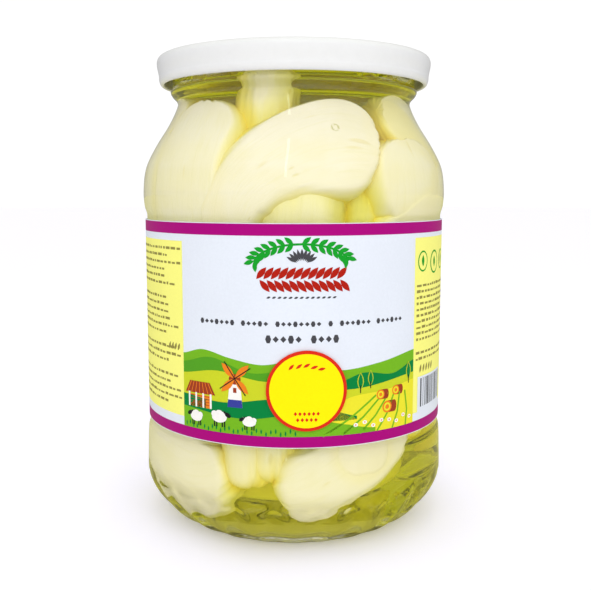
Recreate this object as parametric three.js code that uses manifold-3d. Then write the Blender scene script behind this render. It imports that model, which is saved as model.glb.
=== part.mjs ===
// Braided string cheese in brine, in a shut twist-off glass jar.
// Millimetres, +Z up. The origin is on the jar's axis, on the surface that the jar stands on.
// The front is -Y. Angles round the jar are degrees from the front, positive towards +X.

import * as THREE from "three";
import { mergeVertices } from "three/addons/utils/BufferGeometryUtils.js";
import Module from "manifold-3d";

const wasm = await Module();
wasm.setup();
const { Manifold, Mesh: SolidMesh } = wasm;

// ---- driving dimensions ----------------------------------------------------------------------

const overallHeight = 143.7; // floor to the lid's rim
const segmentsRound = 52; // facets round the jar, two to a heel flute

// glass jar
const wall = 2.5;
const bearingInner = 31.0; // the flat ring that the jar stands on
const bearingOuter = 33.6;
const pushUp = 3.2; // how far the middle of the base is pushed up
const floorHeight = 6.0; // inside, at the edge; the middle is domed
const floorDome = 1.2;
const heelHeight = 15.0;
const heelRadius = 47.6; // widest, just above the heel
const heelFullness = 1.52; // exponent of the heel's curve; 2 is a true ellipse
const fluteDepth = 0.7;
const panelRadius = 46.4; // recessed band that the label sits in
const panelBottom = 31.0;
const panelTop = 96.0;
const shoulderRadius = 47.4;
const shoulderHeight = 103.0;
const neckRadius = 36.4;
const neckHeight = 129.0;
const beadRadius = 38.5; // ring of glass under the lid
const beadHeight = 133.2;
const finishRadius = 37.9; // the plain wall that carries the lugs
const mouthHeight = 142.3;
const lugCount = 4;
const lugRadius = 39.6;
const lugSpan = 46; // degrees
const lugClimb = 2.2;
const lugThickness = 2.2;

// twist-off lid
const lidSheet = 0.9;
const lidRadius = 42.6; // widest, near the top of the skirt
const lidCurlRadius = 41.0; // the skirt narrows to the curl at its lower edge
const lidBottom = 135.1;
const lidStepRadius = 34.0; // edge of the sunk middle panel
const lidStepDepth = 1.1;
const buttonRadius = 13.0;
const buttonRise = 0.4;

// paper label and round price sticker
const labelBottom = 32.6;
const labelTop = 94.4;
const labelInner = panelRadius + 0.3;
const labelOuter = labelInner + 0.4;
const labelGap = 14; // degrees left open at the back, between the label's two ends
const stickerRadius = 11.2;
const stickerAngle = 4.3;
const stickerHeight = 48.8;
const stickerInner = labelOuter + 0.25;
const stickerSheet = 0.3;

// cheese
const clearance = 0.5; // kept between the cheese and the glass
const neckClearance = 1.0; // and from half-way up the shoulder, where the wall turns hollow
const strandSides = 9;
const ringSpacing = 11.0; // length of strand to each ring of facets
const thickening = 0.6; // how early a strand takes on its far end's thickness; 1 is evenly
const endBluntness = 2.6; // 2 is a round end
const coreRadius = 26.0;
const coreBottom = 12.0;
const coreTop = 122.0;

// ---- helpers ---------------------------------------------------------------------------------

// Point at an angle round the jar, a distance from its axis and a height.
function jarPoint(degrees, radius, height) {
  const angle = THREE.MathUtils.degToRad(degrees);
  return new THREE.Vector3(radius * Math.sin(angle), -radius * Math.cos(angle), height);
}

// Revolves [radius, height] pairs round the vertical axis.
function revolve(profile, segments = segmentsRound) {
  const points = profile.map(([radius, height]) => new THREE.Vector2(radius, height));
  const geometry = new THREE.LatheGeometry(points, segments);
  return geometry.rotateX(Math.PI / 2);
}

// Keeps positions alone, with shared corners merged, as joins and cuts need.
function weld(geometry) {
  const bare = geometry.clone();
  bare.deleteAttribute("normal");
  bare.deleteAttribute("uv");
  return mergeVertices(bare, 1e-4);
}

function toSolid(geometry) {
  const welded = weld(geometry);
  const mesh = new SolidMesh({
    numProp: 3,
    vertProperties: new Float32Array(welded.attributes.position.array),
    triVerts: new Uint32Array(welded.index.array),
  });
  return new Manifold(mesh);
}

function toGeometry(solid) {
  const { vertProperties, triVerts } = solid.getMesh();
  const geometry = new THREE.BufferGeometry();
  geometry.setAttribute("position", new THREE.BufferAttribute(vertProperties, 3));
  geometry.setIndex(new THREE.BufferAttribute(triVerts, 1));
  geometry.computeVertexNormals();
  return geometry;
}

function part(name, geometry, colour, roughness, metalness = 0) {
  const material = new THREE.MeshStandardMaterial({ color: colour, roughness, metalness });
  const mesh = new THREE.Mesh(geometry, material);
  mesh.name = name;
  return mesh;
}

// ---- glass jar -------------------------------------------------------------------------------

// The heel: a quarter of a superellipse from the bearing ring out to the body.
function heelCurve(startRadius, endRadius, bottom, height, steps) {
  const points = [];
  for (let i = 0; i <= steps; i += 1) {
    const turn = (i / steps) * (Math.PI / 2);
    const out = Math.sin(turn) ** (2 / heelFullness);
    const up = 1 - Math.cos(turn) ** (2 / heelFullness);
    points.push([startRadius + (endRadius - startRadius) * out, bottom + height * up]);
  }
  return points;
}

// Smooth shoulder from the body in to the neck.
function shoulderCurve(inset, steps) {
  const knots = [
    [shoulderRadius, shoulderHeight],
    [shoulderRadius - 0.9, shoulderHeight + 6.9],
    [shoulderRadius - 3.9, shoulderHeight + 13.2],
    [neckRadius + 2.6, neckHeight - 5.6],
    [neckRadius, neckHeight],
  ];
  const curve = new THREE.SplineCurve(knots.map(([radius, height]) => new THREE.Vector2(radius, height)));
  return curve.getPoints(steps).map((point) => [point.x - inset, point.y]);
}

const heelSteps = 7;

const outerProfile = [
  [0, pushUp],
  [bearingInner - 9, pushUp - 0.6],
  [bearingInner, 0],
  ...heelCurve(bearingOuter, heelRadius, 0, heelHeight, heelSteps),
  [heelRadius - 0.1, heelHeight + 6],
  [heelRadius - 0.4, panelBottom - 2.5],
  [panelRadius, panelBottom],
  [panelRadius, panelTop],
  [shoulderRadius - 0.3, panelTop + 2.2],
  ...shoulderCurve(0, 11),
  [neckRadius + 0.2, neckHeight + 1.5],
  [beadRadius - 0.6, beadHeight - 1.3],
  [beadRadius, beadHeight],
  [finishRadius, beadHeight + 1.4],
  [finishRadius, mouthHeight - 0.8],
  [finishRadius - 0.8, mouthHeight],
];

const innerProfile = [
  [0, floorHeight + floorDome],
  ...heelCurve(bearingOuter - 4, panelRadius - wall, floorHeight, heelHeight - 3, 4),
  [panelRadius - wall, panelTop],
  ...shoulderCurve(wall, 7),
  [neckRadius - wall, mouthHeight],
];

// The inside radius of the jar at a height.
function innerAt(height) {
  for (let i = 2; i < innerProfile.length; i += 1) {
    const [lowRadius, low] = innerProfile[i - 1];
    const [highRadius, high] = innerProfile[i];
    if (height <= high) {
      const share = THREE.MathUtils.clamp((height - low) / (high - low), 0, 1);
      return THREE.MathUtils.lerp(lowRadius, highRadius, share);
    }
  }
  return neckRadius - wall;
}

// Presses shallow upright flutes into the outside of the heel: every second edge goes in.
function fluteHeel(geometry, profileLength) {
  const firstRow = outerProfile.findIndex(([radius]) => radius >= bearingOuter) + 1;
  const lastRow = firstRow + heelSteps - 2;
  const position = geometry.attributes.position;
  for (let i = 0; i < position.count; i += 1) {
    const row = i % profileLength;
    const pressed = Math.floor(i / profileLength) % 2 === 1 && row >= firstRow && row <= lastRow;
    if (!pressed) continue;
    const radius = Math.hypot(position.getX(i), position.getY(i));
    const scale = (radius - fluteDepth) / radius;
    position.setXY(i, position.getX(i) * scale, position.getY(i) * scale);
  }
  return geometry;
}

// One lug: a low ridge that climbs as it goes round, thinning out at both ends.
function lug(startDegrees) {
  const ridge = new THREE.SphereGeometry(1, 6, 7).rotateZ(Math.PI / 2);
  const position = ridge.attributes.position;
  const root = finishRadius - 0.2;
  for (let i = 0; i < position.count; i += 1) {
    const along = (position.getX(i) + 1) / 2;
    const middle = beadHeight + 1.5 + lugClimb * along;
    const height = middle + (lugThickness / 2) * position.getY(i);
    const radius = root + (lugRadius - root) * position.getZ(i);
    const point = jarPoint(startDegrees + lugSpan * along, radius, height);
    position.setXYZ(i, point.x, point.y, point.z);
  }
  return ridge;
}

function makeJar() {
  const profile = [...outerProfile, ...[...innerProfile].reverse()];
  const firstLug = 28;
  let solid = toSolid(fluteHeel(revolve(profile), profile.length));
  for (let i = 0; i < lugCount; i += 1) {
    solid = solid.add(toSolid(lug(firstLug + (i * 360) / lugCount)));
  }
  return part("glass_jar", toGeometry(solid), 0xe3ecdc, 0.05);
}

// ---- lid -------------------------------------------------------------------------------------

// Pressed sheet: a sunk middle with a slightly raised button, a flat rim and a skirt that narrows
// down to the curl.
function makeLid() {
  const top = overallHeight;
  const panel = top - lidStepDepth;
  const above = [
    [0, panel + buttonRise],
    [buttonRadius - 1, panel + buttonRise],
    [buttonRadius, panel],
    [lidStepRadius - 1.2, panel],
    [lidStepRadius, top],
    [lidRadius - 1.7, top],
    [lidRadius - 0.6, top - 0.4],
    [lidRadius, top - 1.5],
    [lidRadius - 0.1, top - 3.2],
    [lidRadius - 0.6, lidBottom + 2.6],
    [lidCurlRadius + 0.8, lidBottom + 1.0],
    [lidCurlRadius, lidBottom],
  ];
  const below = [
    [lidCurlRadius - 0.6, lidBottom + 0.2],
    [lidCurlRadius - 0.4, lidBottom + 1.4],
    [lidRadius - lidSheet, top - 3.2],
    [lidRadius - lidSheet - 1.2, top - lidSheet],
    [lidStepRadius + 0.2, top - lidSheet],
    [lidStepRadius - 0.9, panel - lidSheet],
    [0, panel - lidSheet],
  ];
  return part("lid", revolve([...above, ...below].reverse()), 0xececea, 0.35, 0.1);
}

// ---- label and price sticker -----------------------------------------------------------------

function makeLabel() {
  const start = THREE.MathUtils.degToRad(90 + labelGap / 2);
  const end = THREE.MathUtils.degToRad(90 + 360 - labelGap / 2);
  const outline = new THREE.Shape();
  outline.absarc(0, 0, labelOuter, start, end, false);
  outline.absarc(0, 0, labelInner, end, start, true);
  const sheet = new THREE.ExtrudeGeometry(outline, {
    depth: labelTop - labelBottom,
    bevelEnabled: false,
    curveSegments: segmentsRound,
  });
  sheet.translate(0, 0, labelBottom);
  return part("label", sheet, 0xe9f2f8, 0.5);
}

// A thin disc, bent round the label.
function makeSticker() {
  const steps = 3;
  const face = Array.from({ length: steps + 1 }, (unused, i) => (stickerRadius * i) / steps);
  const under = face.map((radius) => [radius, 0]);
  const over = face.map((radius) => [radius, stickerSheet]).reverse();
  const profile = [...under, ...over].map(([radius, height]) => new THREE.Vector2(radius, height));
  const disc = new THREE.LatheGeometry(profile, 28);
  const position = disc.attributes.position;
  const middle = stickerInner + stickerSheet / 2;
  for (let i = 0; i < position.count; i += 1) {
    const turn = THREE.MathUtils.radToDeg(position.getX(i) / middle);
    const height = stickerHeight - position.getZ(i);
    const point = jarPoint(stickerAngle + turn, stickerInner + position.getY(i), height);
    position.setXYZ(i, point.x, point.y, point.z);
  }
  return part("price_sticker", disc, 0xfff000, 0.4);
}

// ---- cheese ----------------------------------------------------------------------------------

// Lengths along a strand where its facets meet: close together over its round ends.
function ringStations(length, nearCap, farCap, spacing) {
  const capSteps = [0, 0.1, 0.4, 1];
  const run = length - nearCap - farCap;
  const middleRings = Math.max(1, Math.round(run / spacing));
  const middle = [];
  for (let i = 1; i < middleRings; i += 1) {
    middle.push(nearCap + (run * i) / middleRings);
  }
  const near = capSteps.map((step) => step * nearCap);
  const far = capSteps.map((step) => length - step * farCap).reverse();
  return [...near, ...middle, ...far];
}

// One strand: a blunt-ended sausage along a curve, flattened where it meets the glass. It may be
// thicker at its far end.
function strand(points, radius, endRadius = radius, spacing = ringSpacing) {
  const curve = new THREE.CatmullRomCurve3(points);
  const length = curve.getLength();
  const nearCap = Math.min(0.9 * radius, 0.4 * length);
  const farCap = Math.min(0.9 * endRadius, 0.4 * length);
  const stations = ringStations(length, nearCap, farCap, spacing);
  const rings = stations.length - 1;
  const body = new THREE.SphereGeometry(1, strandSides, rings).rotateX(Math.PI / 2);
  const position = body.attributes.position;
  for (let i = 0; i < position.count; i += 1) {
    const polar = Math.acos(THREE.MathUtils.clamp(-position.getZ(i), -1, 1));
    const station = stations[Math.round((polar / Math.PI) * rings)];
    const fromEnd = Math.min(station / nearCap, (length - station) / farCap, 1);
    const thickness = THREE.MathUtils.lerp(radius, endRadius, (station / length) ** thickening);
    const out = thickness * Math.sqrt(Math.max(0, 1 - (1 - fromEnd) ** endBluntness));
    const around = Math.atan2(position.getY(i), position.getX(i));
    const point = curve.getPointAt(station / length);
    const tangent = curve.getTangentAt(station / length);
    const outward = new THREE.Vector3(point.x, point.y, 0).normalize();
    const side = new THREE.Vector3().crossVectors(tangent, outward).normalize();
    const normal = new THREE.Vector3().crossVectors(side, tangent);
    point.addScaledVector(normal, out * Math.cos(around));
    point.addScaledVector(side, out * Math.sin(around));
    pressInsideJar(point);
    position.setXYZ(i, point.x, point.y, point.z);
  }
  return body;
}

// Moves a point that would be in the glass back to its inner face, less the clearance.
function pressInsideJar(point) {
  point.z = Math.max(point.z, floorHeight + floorDome + clearance);
  const limit = innerAt(point.z) - (point.z > shoulderHeight + 9 ? neckClearance : clearance);
  const scale = Math.min(1, limit / Math.hypot(point.x, point.y));
  point.x *= scale;
  point.y *= scale;
}

// Strands against the front of the glass, above the label. Knots are [degrees, distance, height].
const upperStrands = [
  {
    radius: 6.5,
    endRadius: 15.6,
    knots: [
      [-33, 31, 88], [-31.5, 32, 94.5], [-28, 32.5, 100], [-18, 32.5, 105], [-5, 33, 109.5],
      [10, 33, 113], [24, 33, 114.2], [38, 32.5, 113.4],
    ],
  },
  { radius: 8.4, knots: [[-8, 24, 98], [-16, 25, 121], [-13, 24.5, 139]] },
  {
    radius: 15.4,
    endRadius: 15,
    knots: [
      [-54, 35, 58], [-51, 36, 84], [-49, 35, 104], [-47, 31, 121],
    ],
  },
  { radius: 10.5, knots: [[-80, 30, 106], [-58, 31, 118], [-34, 27.5, 130]] },
  { radius: 14, knots: [[-86, 34, 60], [-84, 35, 94], [-84, 31, 120]] },
  {
    radius: 14.5,
    endRadius: 15.5,
    knots: [
      [58, 24, 89], [53, 27, 98], [51, 34.5, 108], [49, 33, 119],
    ],
  },
  { radius: 10.5, knots: [[94, 32, 106], [76, 32, 118], [48, 29, 128]] },
  { radius: 14, knots: [[88, 34, 58], [85, 35, 84], [84, 33, 112]] },
  { radius: 12, knots: [[2, 31, 62], [3.5, 32, 84], [5, 31, 98], [7, 24, 112]] },
  { radius: 5.2, knots: [[29.5, 34, 66], [29.5, 35, 88], [29.5, 33, 104], [30, 25, 114]] },
  {
    radius: 10,
    endRadius: 10.5,
    knots: [
      [24, 32, 73], [39, 35, 82], [50, 36, 88.5], [62, 36, 94], [84, 34, 98],
    ],
  },
];

// Those below the label, and those behind it that join the two.
const lowerStrands = [
  { radius: 15, endRadius: 14, knots: [[-98, 33, 31], [-68, 34, 26], [-43, 34, 22.5], [-27, 32, 26]] },
  { radius: 12.4, endRadius: 12.6, knots: [[-10, 32, 19], [8, 33, 22], [28, 34, 28.5], [52, 32, 38]] },
  { radius: 9, endRadius: 8, knots: [[-9, 34, 60], [-9, 35, 42], [-9, 34, 20]] },
  { radius: 11.5, knots: [[40, 31, 66], [42, 31, 48], [39, 31, 27]] },
  { radius: 12.5, knots: [[-60, 32, 72], [-34, 32, 54], [-28, 31, 36]] },
  { radius: 7.5, endRadius: 7, knots: [[-22, 35, 46], [-20, 36.5, 34], [-19, 36, 18]] },
  { radius: 10.5, knots: [[62, 30, 66], [60, 31, 48], [57, 30, 34]] },
];

// Plaits of three strands that stand against the back and sides of the glass.
const braids = [
  { degrees: 118, bottom: 22, top: 124, phase: 0.1 },
  { degrees: 180, bottom: 19, top: 127, phase: 0.4 },
  { degrees: 242, bottom: 23, top: 122, phase: 0.75 },
];
const braidStrandRadius = 11.4;
const braidPitch = 66; // height in which a strand comes back to where it was
const braidSway = 26; // degrees to either side
const braidWeave = 4.5; // in and out, where strands cross
const braidDistance = 28.5;
const braidRingSpacing = 12;

function braid({ degrees, bottom, top, phase }) {
  const steps = 12;
  return [0, 1, 2].map((index) => {
    const points = [];
    for (let i = 0; i <= steps; i += 1) {
      const rise = ((top - bottom) * i) / steps;
      const turn = (rise / braidPitch + index / 3 + phase) * 2 * Math.PI;
      const narrowing = innerAt(bottom + rise) / (panelRadius - wall);
      const distance = (braidDistance + braidWeave * Math.sin(2 * turn)) * narrowing;
      points.push(jarPoint(degrees + braidSway * Math.sin(turn), distance, bottom + rise));
    }
    return strand(points, braidStrandRadius, braidStrandRadius, braidRingSpacing);
  });
}

// The heap: every strand that shows, joined to a plain core.
function makeCheese() {
  const coreBevel = 8;
  const core = revolve([
    [0, coreBottom],
    [coreRadius - coreBevel, coreBottom],
    [coreRadius, coreBottom + coreBevel],
    [coreRadius, coreTop - coreBevel],
    [coreRadius - coreBevel, coreTop],
    [0, coreTop],
  ], 16);
  const single = [...upperStrands, ...lowerStrands].map(({ knots, radius, endRadius }) => {
    return strand(knots.map((knot) => jarPoint(...knot)), radius, endRadius);
  });
  const pieces = [...single, ...braids.flatMap(braid)];
  const joined = pieces.reduce((whole, piece) => whole.add(toSolid(piece)), toSolid(core));
  // The outer shell alone, so that the small gaps shut in between strands are solid.
  const shells = joined.decompose().sort((a, b) => b.volume() - a.volume());
  return part("cheese", toGeometry(shells[0]), 0xf6f1d2, 0.55);
}

// ---- the whole -------------------------------------------------------------------------------

const group = new THREE.Group();
group.name = "jar_of_braided_string_cheese";
group.add(makeJar());
group.add(makeLid());
group.add(makeLabel());
group.add(makeSticker());
group.add(makeCheese());

export default group;
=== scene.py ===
"""A shut twist-off jar of braided string cheese in brine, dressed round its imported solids.

Metres, +Z up. The front is -Y. Angles round the jar are degrees from the front, positive towards +X.
"""

import math

import bmesh
import bpy
import numpy as np
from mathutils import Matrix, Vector


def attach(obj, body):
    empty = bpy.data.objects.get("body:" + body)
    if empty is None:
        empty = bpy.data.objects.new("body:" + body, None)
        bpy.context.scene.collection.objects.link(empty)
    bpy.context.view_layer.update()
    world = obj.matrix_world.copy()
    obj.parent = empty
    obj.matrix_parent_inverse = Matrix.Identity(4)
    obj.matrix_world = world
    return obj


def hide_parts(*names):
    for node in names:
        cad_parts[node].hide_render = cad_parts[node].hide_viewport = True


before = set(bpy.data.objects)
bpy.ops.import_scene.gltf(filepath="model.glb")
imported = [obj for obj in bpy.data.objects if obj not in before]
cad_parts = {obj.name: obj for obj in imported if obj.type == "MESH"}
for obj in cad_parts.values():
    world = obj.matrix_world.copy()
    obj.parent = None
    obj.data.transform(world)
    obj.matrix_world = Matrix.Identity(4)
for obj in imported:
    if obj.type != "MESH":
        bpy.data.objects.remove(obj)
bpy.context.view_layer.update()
scene = bpy.context.scene

# ---- Camera and studio -----------------------------------------------------------------------
# The eye is a little above the label and close to the jar, so its ellipses open out. White
# table, white surroundings, two broad soft lights and a slim upright one in front.

MM = 0.001
FRAME_WIDTH = 591
FOCAL_LENGTH_PIXELS = 833.1
SIDE_SHIFT_PIXELS = 1.75
SENSOR_WIDTH = 36
EYE = Vector((0, -269.2, 102.4)) * MM
LOOK_DOWN = math.radians(7.02)
LIT_MIDDLE = Vector((0, 0, 70)) * MM
# how bright the surroundings are that show through the jar, and how much of them is mirrored
BEHIND_BRINE = 0.6
MIRRORED = 0.6
TABLE_WHITE = (0.895, 0.88, 0.98, 1)
# painted shadow: the table turns darker and brine-yellow where it is seen through the jar or mirrored in it
PAINTED_TABLE_SHADE = (0.62, 0.6, 0.28, 1)

camera_data = bpy.data.cameras.new("camera")
camera_data.sensor_width = SENSOR_WIDTH
camera_data.lens = SENSOR_WIDTH * FOCAL_LENGTH_PIXELS / FRAME_WIDTH
camera_data.shift_x = SIDE_SHIFT_PIXELS / FRAME_WIDTH
camera_data.clip_start = 0.01
camera = bpy.data.objects.new("camera", camera_data)
camera.location = EYE
camera.rotation_euler = (math.pi / 2 - LOOK_DOWN, 0, 0)
scene.collection.objects.link(camera)
scene.camera = camera


class Flow:
    """An output of a node. Arithmetic on it adds Math nodes; flow[name] is a sister output."""

    def __init__(self, socket):
        self.socket = socket
        self.node = socket.node
        self.tree = socket.id_data

    def __getitem__(self, key):
        return Flow(self.node.outputs[key])

    def __add__(self, other):
        return calc("ADD", self, other)

    def __sub__(self, other):
        return calc("SUBTRACT", self, other)

    def __rsub__(self, other):
        return calc("SUBTRACT", other, self)

    def __mul__(self, other):
        return calc("MULTIPLY", self, other)

    def __truediv__(self, other):
        return calc("DIVIDE", self, other)

    def __pow__(self, other):
        return calc("POWER", self, other)


def fill(node, inputs):
    """Sets a node's inputs, given by name or number: a plain value, or a flow to link."""
    for key, value in inputs.items():
        if isinstance(value, Flow):
            value.tree.links.new(value.socket, node.inputs[key])
        else:
            node.inputs[key].default_value = value


def put(tree, kind, inputs=None, **settings):
    """Adds a node and returns its first output."""
    made = tree.nodes.new(kind)
    for name, value in settings.items():
        setattr(made, name, value)
    fill(made, inputs or {})
    return Flow(made.outputs[0])


def tree_of(*values):
    return next(value.tree for value in values if isinstance(value, Flow))


def calc(operation, *values, kind="ShaderNodeMath"):
    return put(tree_of(*values), kind, dict(enumerate(values)), operation=operation)


def split(vector):
    """The X, Y and Z of a vector."""
    parts = put(vector.tree, "ShaderNodeSeparateXYZ", {0: vector})
    return parts["X"], parts["Y"], parts["Z"]


def soft_step(value, low, high, to_low=0.0, to_high=1.0):
    """Eases from to_low at low to to_high at high."""
    inputs = {"Value": value, "From Min": low, "From Max": high, "To Min": to_low, "To Max": to_high}
    return put(value.tree, "ShaderNodeMapRange", inputs, interpolation_type="SMOOTHSTEP")


def mix_colour(share, first, second, blend="MIX"):
    tree = tree_of(share, first, second)
    inputs = {0: share, 6: first, 7: second}
    return put(tree, "ShaderNodeMix", inputs, data_type="RGBA", blend_type=blend)[2]


def new_material(name):
    """Empty material. Returns it, its node tree and its Principled shader."""
    material = bpy.data.materials.new(name)
    material.use_nodes = True
    return material, material.node_tree, material.node_tree.nodes["Principled BSDF"]


def soft_light(name, place, width, height, watts, mirrored=False):
    data = bpy.data.lights.new(name, "AREA")
    data.shape = "RECTANGLE"
    data.size = width
    data.size_y = height
    data.energy = watts
    light = bpy.data.objects.new(name, data)
    light.location = place
    light.rotation_euler = (LIT_MIDDLE - Vector(place)).to_track_quat("-Z", "Y").to_euler()
    light.visible_glossy = mirrored
    light.visible_transmission = False
    scene.collection.objects.link(light)


def light_studio():
    world = bpy.data.worlds.new("white_surroundings")
    scene.world = world
    world.use_nodes = True
    tree = world.node_tree
    path = put(tree, "ShaderNodeLightPath")
    seen = calc("MAXIMUM", path["Is Camera Ray"], path["Is Transmission Ray"])
    up = split(put(tree, "ShaderNodeTexCoord")["Generated"])[2]
    dimmed = path["Is Glossy Ray"] * (MIRRORED - 1) + 1
    # dimmer at the horizon than overhead
    lit = soft_step(up, -0.1, 0.85, 0.54, 1.0) * dimmed
    through = soft_step(path["Transmission Depth"], 0, 1, 1.05, BEHIND_BRINE)
    strength = put(tree, "ShaderNodeMix", {0: seen, 2: lit, 3: through})
    fill(tree.nodes["Background"], {"Color": (1, 1, 1, 1), "Strength": strength})
    soft_light("broad_light", (0.05, -0.55, 0.5), width=0.6, height=0.4, watts=0.9)
    soft_light("fill_light", (0.1, -0.7, 0.12), width=1.6, height=0.4, watts=1.06)
    soft_light("slim_light", (-0.045, -0.45, 0.45), width=0.016, height=0.5, watts=0.08, mirrored=True)


def make_floor():
    bpy.ops.mesh.primitive_circle_add(vertices=64, radius=6, fill_type="NGON")
    floor = bpy.context.object
    floor.name = "floor"
    material, tree, shader = new_material("white_table")
    path = put(tree, "ShaderNodeLightPath")
    # painted shadow: seen through the jar or mirrored, the table takes the darker brine-yellow colour
    through = calc("GREATER_THAN", path["Transmission Depth"], path["Diffuse Depth"])
    through = through * calc("LESS_THAN", path["Diffuse Depth"], 0.5)
    through = calc("MAXIMUM", through, path["Is Glossy Ray"])
    values = {
        "Base Color": mix_colour(through, TABLE_WHITE, PAINTED_TABLE_SHADE),
        "Roughness": 0.8,
        "Specular IOR Level": 0.1,
        "Emission Color": (1, 1, 1, 1),
        "Emission Strength": path["Is Camera Ray"] * 0.2,
    }
    fill(shader, values)
    floor.data.materials.append(material)


light_studio()
make_floor()
scene.cycles.max_bounces = 16
scene.cycles.transmission_bounces = 14
scene.cycles.transparent_max_bounces = 16
scene.cycles.diffuse_bounces = 5
scene.cycles.use_denoising = True
scene.view_settings.view_transform = "Standard"

# ---- Glass jar -------------------------------------------------------------------------------
# Pressed and blown clear soda glass. It has a rounded heel with upright flutes, a sunk band for
# the label, a round shoulder, a bead under the lid and four climbing lugs that the lid grips.

WALL = 2.5
BEARING_INNER, BEARING_OUTER = 31.0, 33.6
PUSH_UP = 3.2
FLOOR_HEIGHT, FLOOR_DOME = 6.0, 1.2
HEEL_HEIGHT, HEEL_RADIUS = 15.0, 47.6
HEEL_FULLNESS = 1.52
PANEL_RADIUS = 46.4
PANEL_BOTTOM, PANEL_TOP = 31.0, 96.0
SHOULDER_RADIUS, SHOULDER_HEIGHT = 47.4, 103.0
NECK_RADIUS, NECK_HEIGHT = 36.4, 129.0
BEAD_RADIUS, BEAD_HEIGHT = 38.5, 133.2
FINISH_RADIUS, MOUTH_HEIGHT = 37.9, 142.3
FLUTES = 26
LUGS = 4
JAR_SEGMENTS = FLUTES * 12
# folds sharper than this, in radians, stay sharp in the shading
SHARP = 1.0
MERGE_DISTANCE = 1e-6
UPRIGHT = math.pi / 2


def heel_curve(inner, outer, bottom, height, steps):
    """A quarter of a superellipse from the bearing ring out to the body."""
    turns = [i / steps * UPRIGHT for i in range(1, steps + 1)]
    outwards = [math.sin(turn) ** (2 / HEEL_FULLNESS) for turn in turns]
    upwards = [1 - math.cos(turn) ** (2 / HEEL_FULLNESS) for turn in turns]
    return [(inner + (outer - inner) * out, bottom + height * up) for out, up in zip(outwards, upwards)]


def knots_off(radius, height, *steps):
    """Knots of a profile that lie off one point by steps of [outwards, up]."""
    return [(radius + out, height + up) for out, up in steps]


def hermite(a, b, leaving, arriving, t):
    """The point at share t of a smooth curve from a to b."""
    return (
        (2 * t**3 - 3 * t**2 + 1) * a
        + (t**3 - 2 * t**2 + t) * leaving
        + (3 * t**2 - 2 * t**3) * b
        + (t**3 - t**2) * arriving
    )


def rounded(knots, steps):
    """Smooth line through [radius, height] knots, with that many steps between neighbours."""
    ends = [np.array(knot, float) for knot in (knots[0], *knots, knots[-1])]
    line = []
    for a, b, c, d in zip(ends, ends[1:], ends[2:], ends[3:]):
        before, between, after = (max(math.dist(p, q), 1e-6) for p, q in ((a, b), (b, c), (c, d)))
        leaving = (c - a) * between / (before + between)
        arriving = (d - b) * between / (between + after)
        line += [hermite(b, c, leaving, arriving, i / steps) for i in range(steps)]
    return [(radius, max(height, 0.0)) for radius, height in line] + [tuple(knots[-1])]


SHOULDER_KNOTS = [
    *knots_off(SHOULDER_RADIUS, SHOULDER_HEIGHT, (0, 0), (-0.9, 6.9), (-3.9, 13.2)),
    *knots_off(NECK_RADIUS, NECK_HEIGHT, (2.6, -5.6), (0, 0)),
]
OUTER_KNOTS = [
    (0, PUSH_UP),
    (BEARING_INNER - 9, PUSH_UP - 0.6),
    *knots_off(BEARING_INNER, 0, (-2, 0.6), (0, 0)),
    (BEARING_OUTER, 0),
    *heel_curve(BEARING_OUTER, HEEL_RADIUS, 0, HEEL_HEIGHT, steps=8),
    (HEEL_RADIUS - 0.1, HEEL_HEIGHT + 6),
    (HEEL_RADIUS - 0.4, PANEL_BOTTOM - 2.5),
    *knots_off(PANEL_RADIUS, PANEL_BOTTOM, (0.1, -0.4), (0, 1)),
    *knots_off(PANEL_RADIUS, PANEL_TOP, (0, -1), (0.1, 0.2)),
    (SHOULDER_RADIUS - 0.3, PANEL_TOP + 2.2),
    *SHOULDER_KNOTS,
    (NECK_RADIUS + 0.2, NECK_HEIGHT + 1.5),
    *knots_off(BEAD_RADIUS, BEAD_HEIGHT, (-0.6, -1.3), (0, 0)),
    (FINISH_RADIUS, BEAD_HEIGHT + 1.4),
    *knots_off(FINISH_RADIUS, MOUTH_HEIGHT, (0, -1.4), (-0.8, -0.3), (-1.6, 0)),
]
INSIDE_RADIUS = PANEL_RADIUS - WALL
INNER_KNOTS = [
    (0, FLOOR_HEIGHT + FLOOR_DOME),
    (18, FLOOR_HEIGHT + 0.9),
    (BEARING_OUTER - 4, FLOOR_HEIGHT),
    *heel_curve(BEARING_OUTER - 4, INSIDE_RADIUS, FLOOR_HEIGHT, HEEL_HEIGHT - 3, steps=6),
    (INSIDE_RADIUS, PANEL_BOTTOM),
    (INSIDE_RADIUS, PANEL_TOP - 1),
    *[(radius - WALL, height) for radius, height in SHOULDER_KNOTS],
    (NECK_RADIUS - WALL, NECK_HEIGHT + 4),
    *knots_off(NECK_RADIUS - WALL, MOUTH_HEIGHT, (0, -1.2), (0.8, -0.1)),
]


def line_mesh(name, points):
    """Millimetre points joined into one open line of edges."""
    mesh = bpy.data.meshes.new(name)
    joined = [(i, i + 1) for i in range(len(points) - 1)]
    mesh.from_pydata([Vector(p) * MM for p in points], joined, [])
    return mesh


def profile_mesh(name, profile):
    return line_mesh(name, [(radius, 0, height) for radius, height in profile])


def new_group(name, inputs, outputs, kind="GeometryNodeTree"):
    """Empty node group, with sockets of their defaults' types, where None stands for geometry.

    Returns the group, the first of its inputs and its end node.
    """
    types = {type(None): "Geometry", int: "Int", float: "Float", Vector: "Vector"}
    group = bpy.data.node_groups.new(name, kind)
    for way, sockets in (("INPUT", inputs), ("OUTPUT", outputs)):
        for label, default in sockets.items():
            socket_type = "NodeSocket" + types[type(default)]
            made = group.interface.new_socket(label, in_out=way, socket_type=socket_type)
            if default is not None:
                made.default_value = default
    given = put(group, "NodeGroupInput")
    return group, given, group.nodes.new("NodeGroupOutput")


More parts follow.
